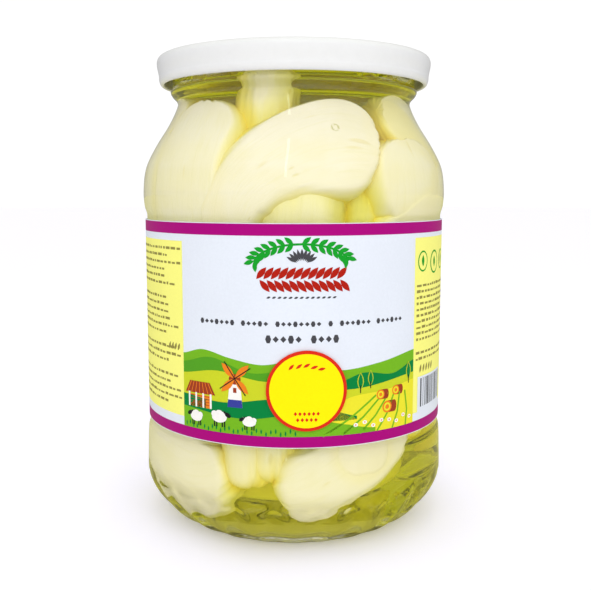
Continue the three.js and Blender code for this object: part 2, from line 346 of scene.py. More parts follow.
def grow(name, base, group, inputs=None):
    """Runs a Geometry Nodes group on a mesh, and keeps the result as a plain mesh piece."""
    carrier = bpy.data.objects.new(name + "_base", base)
    scene.collection.objects.link(carrier)
    modifier = carrier.modifiers.new("grow", "NODES")
    modifier.node_group = group
    sockets = {item.name: item.identifier for item in group.interface.items_tree if item.in_out == "INPUT"}
    for label, value in (inputs or {}).items():
        modifier[sockets[label]] = value
    evaluated = carrier.evaluated_get(bpy.context.evaluated_depsgraph_get())
    piece = bpy.data.objects.new(name, bpy.data.meshes.new_from_object(evaluated))
    while piece.data.materials[0] is None:
        piece.data.materials.pop(index=0)
    bpy.data.objects.remove(carrier)
    bpy.data.meshes.remove(base)
    scene.collection.objects.link(piece)
    return piece


def vector_calc(operation, *values):
    return calc(operation, *values, kind="ShaderNodeVectorMath")


def combine(x, y, z):
    return put(tree_of(x, y, z), "ShaderNodeCombineXYZ", {"X": x, "Y": y, "Z": z})


def moved(geometry, place):
    return put(geometry.tree, "GeometryNodeSetPosition", {"Geometry": geometry, "Position": place})


def merged(geometry):
    inputs = {"Geometry": geometry, "Distance": MERGE_DISTANCE}
    return put(geometry.tree, "GeometryNodeMergeByDistance", inputs)


def finish_tree(end, geometry, material):
    """The closing nodes of each Geometry Nodes group: smooth, realized, with its material."""
    tree = geometry.tree
    smooth = put(tree, "GeometryNodeSetShadeSmooth", {"Geometry": geometry})
    sharp = calc("GREATER_THAN", put(tree, "GeometryNodeInputMeshEdgeAngle")["Unsigned Angle"], SHARP)
    corners = {"Geometry": smooth, "Selection": sharp, "Shade Smooth": False}
    smooth = put(tree, "GeometryNodeSetShadeSmooth", corners, domain="EDGE")
    real = put(tree, "GeometryNodeRealizeInstances", {"Geometry": smooth})
    dressed = put(tree, "GeometryNodeSetMaterial", {"Geometry": real, "Material": material})
    fill(end, {0: dressed})


def make_turning():
    """Group that turns a profile, given as a line of edges, once round the upright axis."""
    inputs = {"Profile": None, "Segments": 128}
    group, given, end = new_group("turned_shell", inputs, {"Shell": None, "Row": 0.0})
    rows = put(group, "GeometryNodeAttributeDomainSize", {"Geometry": given["Profile"]})["Point Count"]
    sides = {"Size X": 1, "Size Y": 1, "Vertices X": given["Segments"] + 1, "Vertices Y": rows}
    grid = put(group, "GeometryNodeMeshGrid", sides)
    position = put(group, "GeometryNodeInputPosition")
    across, up, _ = split(position)
    row = calc("ROUND", (up + 0.5) * (rows - 1))
    turn = (across + 0.5) * (2 * math.pi)
    sampled = {"Geometry": given["Profile"], "Value": position, "Index": row}
    radius, _, height = split(put(group, "GeometryNodeSampleIndex", sampled, data_type="FLOAT_VECTOR"))
    place = combine(radius * calc("SINE", turn), radius * calc("COSINE", turn) * -1, height)
    marked = put(group, "GeometryNodeCaptureAttribute", {"Geometry": grid}).node
    marked.capture_items.new("FLOAT", "Row")
    fill(marked, {"Row": row})
    shell = merged(moved(Flow(marked.outputs[0]), place))
    fill(end, {"Shell": shell, "Row": Flow(marked.outputs["Row"])})
    return group


TURNING = make_turning()


def turned(profile, segments):
    inputs = {"Profile": profile, "Segments": segments}
    return put(profile.tree, "GeometryNodeGroup", inputs, node_tree=TURNING)


def noise(place, scale, detail, roughness=0.5):
    inputs = {"Vector": place, "Scale": scale, "Detail": detail, "Roughness": roughness}
    return put(place.tree, "ShaderNodeTexNoise", inputs)


def bumped(height, strength, distance):
    inputs = {"Height": height, "Strength": strength, "Distance": distance}
    return put(height.tree, "ShaderNodeBump", inputs)


def make_clear(name, tint, ior, waviness):
    """Clear material that lets lamplight through to what it holds."""
    material, tree, shader = new_material(name)
    ripple = noise(put(tree, "ShaderNodeTexCoord")["Object"], scale=70, detail=1)
    ripple = bumped(ripple, strength=1, distance=waviness)
    fill(shader, {"Base Color": tint, "Roughness": 0, "IOR": ior, "Transmission Weight": 1, "Normal": ripple})
    path = put(tree, "ShaderNodeLightPath")
    lamplight = calc("MAXIMUM", path["Is Shadow Ray"], path["Is Diffuse Ray"])
    lamplight = lamplight * calc("GREATER_THAN", path["Transmission Depth"], 0.5)
    clear = put(tree, "ShaderNodeBsdfTransparent", {"Color": tint})
    mixed = put(tree, "ShaderNodeMixShader", {0: lamplight, 1: Flow(shader.outputs[0]), 2: clear})
    fill(tree.nodes["Material Output"], {"Surface": mixed})
    return material


def make_glassware(material):
    """Group that turns the jar's wall, presses its flutes in and raises its lugs."""
    inputs = {
        "Profile": None,
        "Segments": JAR_SEGMENTS,
        "Outer Rows": 1,
        "Flutes": FLUTES,
        "Flute Depth": 0.0007,
        "Flute Bottom": 0.001,
        "Flute Top": 0.0165,
        "Flute Arch": 0.004,
        "Flute Fade": 0.0035,
        "Lugs": LUGS,
        "Lug Start": 28.0,
        "Lug Span": 46.0,
        "Lug Height": 0.1347,
        "Lug Climb": 0.0022,
        "Lug Thickness": 0.0022,
        "Lug Depth": 0.0017,
    }
    group, given, end = new_group("jar_glass", inputs, {"Jar": None})
    shell = turned(given["Profile"], given["Segments"])
    position = put(group, "GeometryNodeInputPosition")
    x, y, z = split(position)
    angle = calc("ARCTAN2", x, y * -1)
    radius = calc("MAXIMUM", calc("SQRT", x * x + y * y), MM)
    outside = calc("LESS_THAN", shell["Row"], given["Outer Rows"])

    pressed = calc("COSINE", angle * given["Flutes"]) * -0.5 + 0.5
    top = given["Flute Top"] - (1 - pressed) * given["Flute Arch"]
    faded = soft_step(z, top - given["Flute Fade"], top, 1, 0) * soft_step(z, 0, given["Flute Bottom"])
    inward = pressed * faded * given["Flute Depth"]

    pitch = calc("DIVIDE", 360, given["Lugs"])
    along = calc("MODULO", calc("DEGREES", angle) - given["Lug Start"] + 360, pitch) / given["Lug Span"]
    middle = along * given["Lug Climb"] + given["Lug Height"]
    off_middle = (z - middle) / (given["Lug Thickness"] / 2)
    off_ends = along * 2 - 1
    ridge = calc("SQRT", calc("MAXIMUM", 1 - (off_middle**2 + off_ends**2), 0))
    outward = ridge * given["Lug Depth"] - inward

    scale = outward * outside / radius + 1
    place = vector_calc("MULTIPLY", position, combine(scale, scale, 1))
    finish_tree(end, moved(shell, place), material)
    return group


def make_jar():
    outer = rounded(OUTER_KNOTS, steps=5)
    inner = rounded(INNER_KNOTS, steps=4)[::-1]
    glass = make_clear("jar_glass", (0.985, 0.995, 0.98, 1), ior=1.5, waviness=0.02 * MM)
    profile = profile_mesh("jar_profile", outer + inner)
    jar = grow("jar", profile, make_glassware(glass), {"Outer Rows": len(outer)})
    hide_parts("glass_jar")
    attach(jar, "root")


make_jar()

# ---- Brine -----------------------------------------------------------------------------------
# Salt water, clouded yellow-green by the whey. It fills the jar to under the lid and reaches
# just into the glass, so that no air shows between the two.

BRINE_TOP = 138.0
BRINE_OVERLAP = 0.15
# how fast red, green and blue die away in the brine, per metre
BRINE_LOSS = (5.0, 5.2, 115.0)
# the share of the fastest loss in the absorption's colour, which may not be black
STRONGEST_TINT = 0.95


def turned_piece(name, profile, segments, material):
    """A plain round piece, from a profile of [radius, height] in millimetres."""
    inputs = {"Profile": None, "Segments": segments}
    group, given, end = new_group(name + "_turned", inputs, {"Piece": None})
    finish_tree(end, turned(given["Profile"], given["Segments"]), material)
    return grow(name, profile_mesh(name + "_profile", profile), group)


def make_brine():
    liquid = make_clear("brine", (1, 1, 1, 1), ior=1.34, waviness=0.0)
    tree = liquid.node_tree
    density = max(BRINE_LOSS) / STRONGEST_TINT
    colour = (*[1 - loss / density for loss in BRINE_LOSS], 1)
    inside = put(tree, "ShaderNodeVolumeAbsorption", {"Color": colour, "Density": density})
    fill(tree.nodes["Material Output"], {"Volume": inside})
    wall = [(r + BRINE_OVERLAP, z) for r, z in rounded(INNER_KNOTS, steps=3) if r > 0 and z < BRINE_TOP]
    floor = (0, FLOOR_HEIGHT + FLOOR_DOME - BRINE_OVERLAP)
    level = [(wall[-1][0], BRINE_TOP), (wall[-1][0] - 3, BRINE_TOP), (0, BRINE_TOP)]
    brine = turned_piece("brine", [floor, *wall, *level], segments=180, material=liquid)
    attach(brine, "root")


make_brine()

# ---- Cheese ----------------------------------------------------------------------------------
# Stretched curd: thick, blunt strands, folded and plaited while hot and packed tight, so they
# are pressed flat where they meet the glass. Fine fibres run along each strand.

CLEARANCE = 0.5
CORE_RADIUS, CORE_BEVEL = 26.0, 6
CORE_BOTTOM, CORE_TOP = 8.6, 122.0
RING_SPACING = 0.8 * MM
STRAND_SIDES = 96
# shifts the pattern on each strand, so that no two have the same lumps
SEED_STEP = 0.37
# linear colours of the curd; the last four are painted shade for folds, fibre grooves, pits and a crater rim
CREAM = (0.985, 0.905, 0.81, 1)
DEEP_CREAM = (0.97, 0.885, 0.74, 1)
PAINTED_FOLD_SHADE = (0.985, 0.82, 0.24, 1)
PAINTED_FIBRE_SHADE = (0.9, 0.82, 0.56, 1)
PAINTED_PIT_SHADE = (0.86, 0.74, 0.4, 1)
PAINTED_CRATER_SHADE = (0.6, 0.54, 0.22, 1)

# first a strand's radius at its start and end and the gap it leaves to the glass, then its knots:
# (degrees round the jar, distance from its axis, height)
BROAD_STRAND = [(-26, 37, 87), (-26, 37, 94), (-22.5, 35.5, 100.5), (-15, 34, 105.5)]
BROAD_STRAND += [(-4, 33, 109.5), (8, 33, 112.2), (23, 33, 113.2), (37, 32.5, 111.6)]
UPPER_STRANDS = [
    ((5.8, 16.0, 0.5), BROAD_STRAND),
    ((8.4, 8.4, 0.5), [(-8, 24, 98), (-16, 25, 121), (-13, 24.5, 139)]),
    ((15.4, 14.0, 0.7), [(-53, 35, 58), (-47, 36, 84), (-45.5, 35, 104), (-47, 31, 117), (-48, 27, 127)]),
    ((10.5, 10.5, 0.9), [(-102, 30, 106), (-86, 31, 118), (-66, 27.5, 130)]),
    ((14.0, 14.0, 0.9), [(-79, 34, 60), (-77, 35, 94), (-77, 31, 120)]),
    ((14.5, 15.5, 0.8), [(58, 24, 89), (53, 27, 98), (51, 34.5, 107), (50, 33, 116)]),
    ((11.5, 11.5, 1.5), [(94, 32, 106), (72, 33, 117), (43, 31.5, 124.5)]),
    ((14.0, 14.0, 1.0), [(82, 34, 58), (78, 35, 84), (77, 33, 112)]),
    ((13.5, 13.5, 1.4), [(1.5, 29.5, 62), (1.5, 30, 84), (2.5, 29.5, 100), (5, 26, 112)]),
    ((5.2, 5.2, 1.6), [(29.5, 34, 66), (29.5, 35, 88), (29.5, 33, 104), (30, 25, 114)]),
    ((10.0, 10.5, 0.6), [(24, 32, 77), (39, 35, 86), (50, 36, 92), (62, 36, 96), (84, 34, 99)]),
]
LOWER_STRANDS = [
    ((15.0, 14.0, 0.6), [(-98, 33, 31), (-68, 34, 26), (-43, 34, 22.5), (-27, 32, 26)]),
    ((12.4, 12.6, 0.9), [(-10, 32, 19), (8, 33, 22), (28, 34, 28.5), (52, 32, 38)]),
    ((9.0, 8.0, 1.3), [(-9, 34, 60), (-9, 35, 42), (-9, 34, 20)]),
    ((11.5, 11.5, 1.0), [(40, 31, 66), (42, 31, 48), (39, 31, 27)]),
    ((12.5, 12.5, 1.2), [(-60, 32, 72), (-34, 32, 54), (-28, 31, 36)]),
    ((7.5, 7.0, 0.9), [(-22, 35, 46), (-20, 36.5, 34), (-19, 36, 18)]),
    ((10.5, 10.5, 1.5), [(62, 30, 66), (60, 31, 48), (57, 30.5, 26)]),
    ((11.0, 11.0, 0.6), [(24, 32, 66), (26, 34.5, 46), (27.5, 35, 19.5)]),
]
# plaits of three strands at the back and sides: middle, bottom, top and phase
PLAITS = [(118, 22, 124, 0.1), (180, 19, 127, 0.4), (242, 23, 122, 0.75)]
PLAIT_RADIUS = 11.4
PLAIT_PITCH = 66.0
PLAIT_SWAY = 26.0
PLAIT_WEAVE = 4.5
PLAIT_DISTANCE = 28.5
PLAIT_STEPS = 12
# how near another strand and how far from the glass the painted yellow shade of a fold begins and is full
FOLD_REACH, FOLD_DEPTH = 2.6 * MM, 4 * MM
# how many centres of a strand, from which that is measured, there are from knot to knot
CENTRE_STEPS = 8
# a burst bubble in the broad upper strand leaves a small round crater, its rim painted olive as shade
CRATER = Vector((11.1, -36.9, 119.7)) * MM
CRATER_RADIUS = 1.1 * MM
# the jar's inside above its floor, and the height and radius that its curve node spans
WALL_KNOTS = [knot for knot in INNER_KNOTS if knot[0] > BEARING_INNER]
CURVE_HEIGHT, CURVE_RADIUS = 150.0, 50.0


def jar_point(degrees, distance, height):
    angle = math.radians(degrees)
    return Vector((distance * math.sin(angle), -distance * math.cos(angle), height))


def inside_radius(height):
    """The inside radius of the jar at a height or an array of heights, in millimetres."""
    radii, heights = zip(*WALL_KNOTS)
    return np.interp(height, heights, radii)


def plait(middle, bottom, top, phase):
    """Centre lines of three strands that weave over and under as they rise."""
    for index in range(3):
        knots = []
        for i in range(PLAIT_STEPS + 1):
            rise = (top - bottom) * i / PLAIT_STEPS
            turn = (rise / PLAIT_PITCH + index / 3 + phase) * 2 * math.pi
            narrowing = float(inside_radius(bottom + rise)) / INSIDE_RADIUS
            distance = (PLAIT_DISTANCE + PLAIT_WEAVE * math.sin(2 * turn)) * narrowing
            knots.append((middle + PLAIT_SWAY * math.sin(turn), distance, bottom + rise))
        yield (PLAIT_RADIUS, PLAIT_RADIUS, CLEARANCE + 0.4 * index), knots


def drawn_out(place, share):
    """Slows a pattern down along the strand, which runs along Z in fibre_place."""
    return vector_calc("MULTIPLY", place, (1, 1, share))


def make_curd():
    """Curd: cream, with painted yellow shade in the folds between strands, in the fibres' grooves and in the
    pits, and painted olive shade round the crater.
    """
    material, tree, shader = new_material("cheese_curd")
    place = put(tree, "ShaderNodeAttribute", attribute_name="fibre_place")["Vector"]
    fold_shade = put(tree, "ShaderNodeAttribute", attribute_name="fold_shade")["Fac"]
    solid = put(tree, "ShaderNodeTexCoord")["Object"]
    fibre = noise(drawn_out(place, 0.07), scale=1600, detail=4, roughness=0.6)
    pore = {"Vector": drawn_out(place, 0.35), "Scale": 330, "Randomness": 1}
    pore = put(tree, "ShaderNodeTexVoronoi", pore, feature="F1")
    size = put(tree, "ShaderNodeSeparateColor", {0: pore["Color"]})["Red"]
    size = calc("MAXIMUM", soft_step(size, 0.6, 1.0, 0.0, 0.34), 0.001)
    pit = 1 - soft_step(pore["Distance"] / size, 0.4, 1.0)
    broken = noise(solid, scale=1500, detail=1)
    crater = vector_calc("DISTANCE", solid, CRATER)["Value"] / CRATER_RADIUS + (broken * 1.2 - 0.6)
    rim = soft_step(crater, 0.45, 0.9) * soft_step(crater, 1.3, 0.95) * soft_step(broken, 0.32, 0.52)
    cloud = noise(solid, scale=90, detail=3)
    body = mix_colour(soft_step(cloud, 0.35, 0.65), CREAM, DEEP_CREAM)
    # painted shade: yellower and darker deep in the folds between strands
    body = mix_colour(fold_shade * 0.9, body, PAINTED_FOLD_SHADE)
    # painted shade: yellower and darker in the low grooves between the fibres
    body = mix_colour(soft_step(fibre, 0.3, 0.55, 0.3, 0), body, PAINTED_FIBRE_SHADE)
    # painted shade: yellower and darker inside the pits
    body = mix_colour(pit * 0.55, body, PAINTED_PIT_SHADE)
    values = {
        # painted shade: an olive ring in the crater's groove
        "Base Color": mix_colour(rim * 0.85, body, PAINTED_CRATER_SHADE),
        "Roughness": soft_step(fibre, 0.3, 0.7, 0.38, 0.55),
        "Specular IOR Level": 0.25,
        "Normal": bumped(fibre * 0.6 - pit - rim, strength=0.5, distance=0.2 * MM),
    }
    fill(shader, values)
    return material


def keep(geometry, name, value, kind="FLOAT"):
    """Stores a named attribute on a geometry's points."""
    inputs = {"Geometry": geometry, "Name": name, "Value": value}
    return put(geometry.tree, "GeometryNodeStoreNamedAttribute", inputs, data_type=kind)


def kept(tree, name):
    return put(tree, "GeometryNodeInputNamedAttribute", {"Name": name}, data_type="FLOAT")


def wall_curve(height):
    """The inside radius of the jar at a height, both in metres, by a curve node."""
    curve = put(height.tree, "ShaderNodeFloatCurve", {"Value": height / (CURVE_HEIGHT * MM)})
    mapping = curve.node.mapping
    points = mapping.curves[0].points
    points[0].location = (0, WALL_KNOTS[0][0] / CURVE_RADIUS)
    points[1].location = (1, WALL_KNOTS[-1][0] / CURVE_RADIUS)
    for knot_radius, knot_height in WALL_KNOTS:
        points.new(knot_height / CURVE_HEIGHT, knot_radius / CURVE_RADIUS)
    for point in points:
        point.handle_type = "VECTOR"
    mapping.update()
    return curve * (CURVE_RADIUS * MM)


def make_strand_group(material):
    """Group that grows one strand on a line of knots, uneven, and pressed inside the glass."""
    inputs = {
        "Knots": None,
        "Start Radius": 0.012,
        "End Radius": 0.012,
        "Ring Spacing": RING_SPACING,
        "Sides": STRAND_SIDES,
        "Cap Length": 0.9,
        "Longest Cap": 0.4,
        "Cap Fullness": 2.6,
        "Lump Scale": 75.0,
        "Lump Height": 0.0012,
        "Groove Scale": 260.0,
        "Groove Depth": 0.0005,
        "Clearance": 0.0005,
        "Press Softness": 0.0012,
        "Seed": 0.0,
    }
    group, given, end = new_group("curd_strand", inputs, {"Strand": None})
    line = put(group, "GeometryNodeMeshToCurve", {"Mesh": given["Knots"]})
    line = put(group, "GeometryNodeCurveSplineType", {"Curve": line}, spline_type="CATMULL_ROM")
    spaced = {"Curve": line, "Length": given["Ring Spacing"]}
    line = put(group, "GeometryNodeResampleCurve", spaced, mode="LENGTH")
    parameter = put(group, "GeometryNodeSplineParameter")
    share, passed = parameter["Factor"], parameter["Length"]
    length = put(group, "GeometryNodeSplineLength")["Length"]
    radius = {0: share**0.5, 2: given["Start Radius"], 3: given["End Radius"]}
    radius = put(group, "ShaderNodeMix", radius)
    cap = calc("MINIMUM", radius * given["Cap Length"], length * given["Longest Cap"])
    from_end = calc("MINIMUM", passed, length - passed)
    inwards = 1 - calc("MINIMUM", from_end / cap, 1)
    blunt = 1 - inwards ** given["Cap Fullness"]
    thickness = radius * calc("SQRT", calc("MAXIMUM", blunt, 0))
    line = keep(line, "along", passed)
    ring = put(group, "GeometryNodeCurvePrimitiveCircle", {"Resolution": given["Sides"], "Radius": 1})
    ring = keep(ring, "around", share)
    tube = {"Curve": line, "Profile Curve": ring, "Scale": thickness}
    tube = merged(put(group, "GeometryNodeCurveToMesh", tube))

    turn = kept(group, "around") * (2 * math.pi)
    across = calc("COSINE", turn) * given["End Radius"]
    beside = calc("SINE", turn) * given["End Radius"]
    place = combine(across, beside, kept(group, "along") + given["Seed"])
    tube = keep(tube, "fibre_place", place, "FLOAT_VECTOR")
    lump = (noise(place, given["Lump Scale"], detail=2) - 0.5) * given["Lump Height"]
    groove = noise(drawn_out(place, 0.12), given["Groove Scale"], detail=2)
    groove = soft_step(groove, 0.5, 0.36) * given["Groove Depth"]
    offset = {0: put(group, "GeometryNodeInputNormal"), 3: lump - groove}
    offset = put(group, "ShaderNodeVectorMath", offset, operation="SCALE")
    tube = put(group, "GeometryNodeSetPosition", {"Geometry": tube, "Offset": offset})

    x, y, z = split(put(group, "GeometryNodeInputPosition"))
    height = calc("MAXIMUM", z, (FLOOR_HEIGHT + FLOOR_DOME + CLEARANCE) * MM)
    distance = calc("MAXIMUM", vector_calc("LENGTH", combine(x, y, 0))["Value"], MM)
    limit = wall_curve(height) - given["Clearance"]
    pressed = calc("SMOOTH_MIN", distance, limit, given["Press Softness"])
    scale = pressed / distance
    finish_tree(end, moved(tube, combine(x * scale, y * scale, height)), material)
    return group


def paint_fold_shade(strands):
    """Writes on each strand how deep in a fold between strands each of its points lies, 0 to 1: the mask of
    the painted fold shade.
    """
    lines = [(index, point, radius) for index, (_, line) in enumerate(strands) for point, radius in line]
    owner, centres, radii = (np.array(column) for column in zip(*lines))
    at_once = 2000
    for index, (piece, _) in enumerate(strands):
        others = owner != index
        places = np.zeros(len(piece.data.vertices) * 3)
        piece.data.vertices.foreach_get("co", places)
        places = places.reshape(-1, 3)
        gap = np.zeros(len(places))
        for start in range(0, len(places), at_once):
            block = slice(start, start + at_once)
            away = places[block, None, :] - centres[others][None, :, :]
            gap[block] = (np.sqrt((away**2).sum(2)) - radii[others]).min(1)
        closeness = np.clip(1 - gap / FOLD_REACH, 0, 1)
        wall = inside_radius(places[:, 2] / MM) * MM
        depth = np.clip((wall - np.hypot(places[:, 0], places[:, 1])) / FOLD_DEPTH, 0, 1)
        fold_shade = closeness**2 * (3 - 2 * closeness) * depth
        attribute = piece.data.attributes.new("fold_shade", "FLOAT", "POINT")
        attribute.data.foreach_set("value", fold_shade.astype(np.float32))


def make_cheese():
    curd = make_curd()
    strand_group = make_strand_group(curd)
    plaits = [strand for row in PLAITS for strand in plait(*row)]
    shares = [step / CENTRE_STEPS for step in range(CENTRE_STEPS)]
    strands = []
    for label, rows in (("upper", UPPER_STRANDS), ("lower", LOWER_STRANDS), ("plait", plaits)):
        for i, (sizes, knots) in enumerate(rows):
            points = [jar_point(*knot) for knot in knots]
            start, far, clearance = (size * MM for size in sizes)
            inputs = {"Start Radius": start, "End Radius": far, "Clearance": clearance}
            inputs["Seed"] = len(strands) * SEED_STEP
            piece = grow(f"{label}_strand_{i + 1}", line_mesh("knots", points), strand_group, inputs)
            line = [(a.lerp(b, share) * MM, start) for a, b in zip(points, points[1:]) for share in shares]
            # a strand's ends are round, so its line of centres stops short of them
            strands.append((piece, line[4:-2]))
    paint_fold_shade(strands)
    for piece, _ in strands:
        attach(piece, "root")
    profile = [
        (0, CORE_BOTTOM),
        (CORE_RADIUS - CORE_BEVEL, CORE_BOTTOM),
        (CORE_RADIUS, CORE_BOTTOM + CORE_BEVEL),
        (CORE_RADIUS, CORE_TOP - CORE_BEVEL),
        (CORE_RADIUS - CORE_BEVEL, CORE_TOP),
        (0, CORE_TOP),
    ]
    core = turned_piece("curd_core", rounded(profile, steps=6), segments=64, material=curd)
    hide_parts("cheese")
    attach(core, "root")


make_cheese()

# ---- Label -----------------------------------------------------------------------------------
# Coated paper, wrapped round the sunk band and glued, its two ends a little apart at the back.
# The print is flat ink in thin layers: two bands, side panels, a farm field and a plaited ornament.

LABEL_BOTTOM, LABEL_TOP = 32.6, 94.4
LABEL_GAP = 14
PAPER_INNER, PAPER_OUTER = PANEL_RADIUS + 0.1, PANEL_RADIUS + 0.58
LABEL_REACH = PAPER_OUTER * math.radians(180 - LABEL_GAP / 2)
INK_STEP = 0.02
FOLD_STEP = 2.0
PRINT_MARGIN = 0.2
FIELD_BOTTOM, FIELD_TOP = 35.9, 91.0
PANEL_LEFT, PANEL_RIGHT = -34.5, 39.0

# screen colours of the paper and the inks
PAPER = (230, 236, 242)
MAGENTA = (172, 0, 122)
STRAW = (255, 253, 132)
OLIVE_GREY = (150, 142, 72)
SLATE = (74, 74, 78)
RED = (178, 30, 14)
LEAF_GREEN = (22, 160, 42)
HILL_GREEN = (118, 184, 32)
SHADE_GREEN = (84, 162, 34)
LIME = (205, 214, 40)
DEEP_GREEN = (0, 132, 62)
CORN = (238, 230, 48)
ORANGE = (240, 132, 34)
BRICK = (160, 62, 34)
BLUE = (58, 66, 156)
INK_BLACK = (32, 32, 36)
WHITE = (250, 248, 240)


def linear(colour):
    """Screen colour, 0 to 255, as the share of light that it stands for on the sRGB curve."""
    return tuple(part / 3294.6 if part < 11 else ((part / 255 + 0.055) / 1.055) ** 2.4 for part in colour)


# Outlines are lists of (u, z) in millimetres: u is the way round the jar and z the height.


def bar(left, bottom, right, top):
    return [(left, bottom), (right, bottom), (right, top), (left, top)]


def oval(u, z, wide, high, turn=0.0, steps=18):
    cos, sin = math.cos(turn), math.sin(turn)
    points = []
    for i in range(steps):
        around = 2 * math.pi * i / steps
        across, up = wide / 2 * math.cos(around), high / 2 * math.sin(around)
        points.append((u + across * cos - up * sin, z + across * sin + up * cos))
    return points


def leaf(u, z, length, width, turn, steps=6):
    """A blade pointed at both ends. It starts at u, z and runs along turn."""
    edge = [(length * i / steps, width / 2 * math.sin(math.pi * i / steps)) for i in range(steps + 1)]
    edge += [(along, -side) for along, side in edge[-2:0:-1]]
    cos, sin = math.cos(turn), math.sin(turn)
    return [(u + along * cos - side * sin, z + along * sin + side * cos) for along, side in edge]


def leaf_row(count, start, pitch, height, length, width, turn):
    return [leaf(start + i * pitch, height, length, width, turn) for i in range(count)]


def ribbon(line, width):
    """Outline of a band of even width along a line of points."""
    left, right = [], []
    for i, (u, z) in enumerate(line):
        before, after = line[max(i - 1, 0)], line[min(i + 1, len(line) - 1)]
        run = math.dist(before, after)
        across = ((before[1] - after[1]) / run * width / 2, (after[0] - before[0]) / run * width / 2)
        left.append((u + across[0], z + across[1]))
        right.append((u - across[0], z - across[1]))
    return left + right[::-1]


def ground(tops, bottom):
    """A field from a smooth skyline down to one height."""
    ends = [tops[0], *tops, tops[-1]]
    line = []
    for (_, before), (left, a), (right, b), (_, after) in zip(ends, ends[1:], ends[2:], ends[3:]):
        for t in np.arange(8) / 8:
            line.append((left + (right - left) * t, hermite(a, b, (b - before) / 2, (after - a) / 2, t)))
    line.append(tops[-1])
    return [(line[0][0], bottom), (line[-1][0], bottom), *line[::-1]]


def ink(layer, colour, *outlines):
    return [(layer, colour, outline) for outline in outlines]


def placed(shapes, u, z, size=1):
    """Shapes that are drawn round 0, 0, brought to their place and size."""
    return [(layer, hue, [(u + a * size, z + b * size) for a, b in line]) for layer, hue, line in shapes]


def windmill():
    shapes = ink(4, WHITE, [(-2.3, 0), (2.3, 0), (1.5, 8), (-1.5, 8)])
    shapes += ink(5, BLUE, [(-2.3, 0), (2.3, 0), (2.05, 2.2), (-2.05, 2.2)])
    shapes += ink(5, BRICK, oval(0, 8, 3.6, 3.0), bar(-0.5, 4.2, 0.5, 5.6))
    for i in range(4):
        turn = 0.6 + i * UPRIGHT
        tip = (5.6 * math.cos(turn), 8.2 + 5.6 * math.sin(turn))
        shapes += ink(6, ORANGE, leaf(0, 8.2, 5.8, 2.1, turn + 0.16))
        shapes += ink(7, INK_BLACK, ribbon([(0, 8.2), tip], 0.3))
    return shapes


def hay_shed():
    """An open shed: a slanted tile roof on white posts, with hay stacked under it."""
    layers = [bar(-3.8, 0.8 + i * 0.8, 3.8, 0.95 + i * 0.8) for i in range(4)]
    posts = [bar(-4.2 + i * 2.6, 0, -3.6 + i * 2.6, 4.2) for i in range(4)]
    roof = [(-5.4, 4), (5.4, 4), (3.6, 7.4), (-3.6, 7.4)]
    seams = [ribbon([(-4.5 + i * 1.5, 4.1), (-3 + i, 7.3)], 0.2) for i in range(7)]
    shapes = ink(4, ORANGE, bar(-4, 0, 4, 3.6)) + ink(5, BRICK, *layers)
    return shapes + ink(6, WHITE, *posts) + ink(6, BRICK, roof) + ink(7, ORANGE, *seams)


def sheep(facing):
    """A standing sheep with a dark face. facing is 1 for right and -1 for left."""
    fleece = [(0, 0, 4.6, 2.9), (-1.5, 0.8, 2, 1.8), (0, 1.2, 2.2, 1.6), (1.5, 0.7, 2, 1.8)]
    face = oval(2.6 * facing, 0.8, 1.9, 1.2, -0.5 * facing)
    ear = leaf(2.1 * facing, 1.1, 1.1, 0.6, UPRIGHT + 0.9 * facing)
    legs = [bar(foot - 0.2, -2.6, foot + 0.2, -0.6) for foot in (-1.5, -0.8, 0.9, 1.6)]
    shapes = ink(7, INK_BLACK, *legs) + ink(8, WHITE, *[oval(*tuft) for tuft in fleece])
    return shapes + ink(9, INK_BLACK, face, ear)


def bale():
    outer, middle, inner = (oval(0, 0, size, size) for size in (1, 0.72, 0.4))
    shapes = ink(5, BRICK, bar(0, -0.5, 0.8, 0.5), oval(0.8, 0, 0.5, 1))
    return shapes + ink(6, ORANGE, outer) + ink(7, CORN, middle) + ink(8, ORANGE, inner)


def poplar(height):
    wide = height * 0.3
    shapes = ink(4, LIME, leaf(0, 0, height * 1.04, wide * 1.35, UPRIGHT))
    shapes += ink(5, DEEP_GREEN, leaf(0, height * 0.04, height * 0.94, wide, UPRIGHT))
    return shapes + ink(6, INK_BLACK, bar(-0.15, -height * 0.14, 0.15, height * 0.3))


def farm_field():
    left, right = PANEL_LEFT, PANEL_RIGHT
    skyline = [(left, 57.2), (-27, 59.0), (-18, 57.2), (-9, 55.8), (0, 56.8), (12, 54.2), (25, 55.4)]
    slopes = [
        (1, HILL_GREEN, FIELD_BOTTOM, [*skyline, (right, 57.6)]),
        (2, SHADE_GREEN, 46, [(left, 54.8), (-24, 57.0), (-12, 53.4), (2, 54.6), (12, 50)]),
        (3, LIME, FIELD_BOTTOM, [(left, 51.6), (-22, 53.4), (-8, 51.2), (4, 52.0), (14, 48.6), (right, 51)]),
        (2, DEEP_GREEN, 44, [(12, 50.6), (20, 53.0), (30, 51.8), (right, 54.6)]),
        (4, DEEP_GREEN, 40, [(left, 45.6), (-20, 44.6), (-4, 46.4), (8, 44), (18, 41)]),
        (5, HILL_GREEN, FIELD_BOTTOM, [(left, 42.0), (-14, 40.4), (0, 41.8), (16, 38.6), (24, 37)]),
        (4, CORN, FIELD_BOTTOM, [(6, 42), (16, 46.4), (28, 47.4), (right, 49)]),
    ]
    shapes = []
    for layer, colour, bottom, tops in slopes:
        shapes += ink(layer, colour, ground(tops, bottom))
    for i in range(9):
        row = [(8 + i * 5.5, FIELD_BOTTOM), (16 + i * 4.0, 40.5), (24 + i * 2.2, 46.2)]
        row = [point for point in row if point[0] < right - 0.3]
        if len(row) > 1:
            shapes += ink(5, HILL_GREEN, ribbon(row, 0.55))
    for i in range(26):
        z = 36.2 + 0.5 * math.sin(i * 1.9)
        shapes += ink(6, DEEP_GREEN, leaf(left + 1.2 + i * 1.35, z, 1.5, 0.5, UPRIGHT))
    return shapes


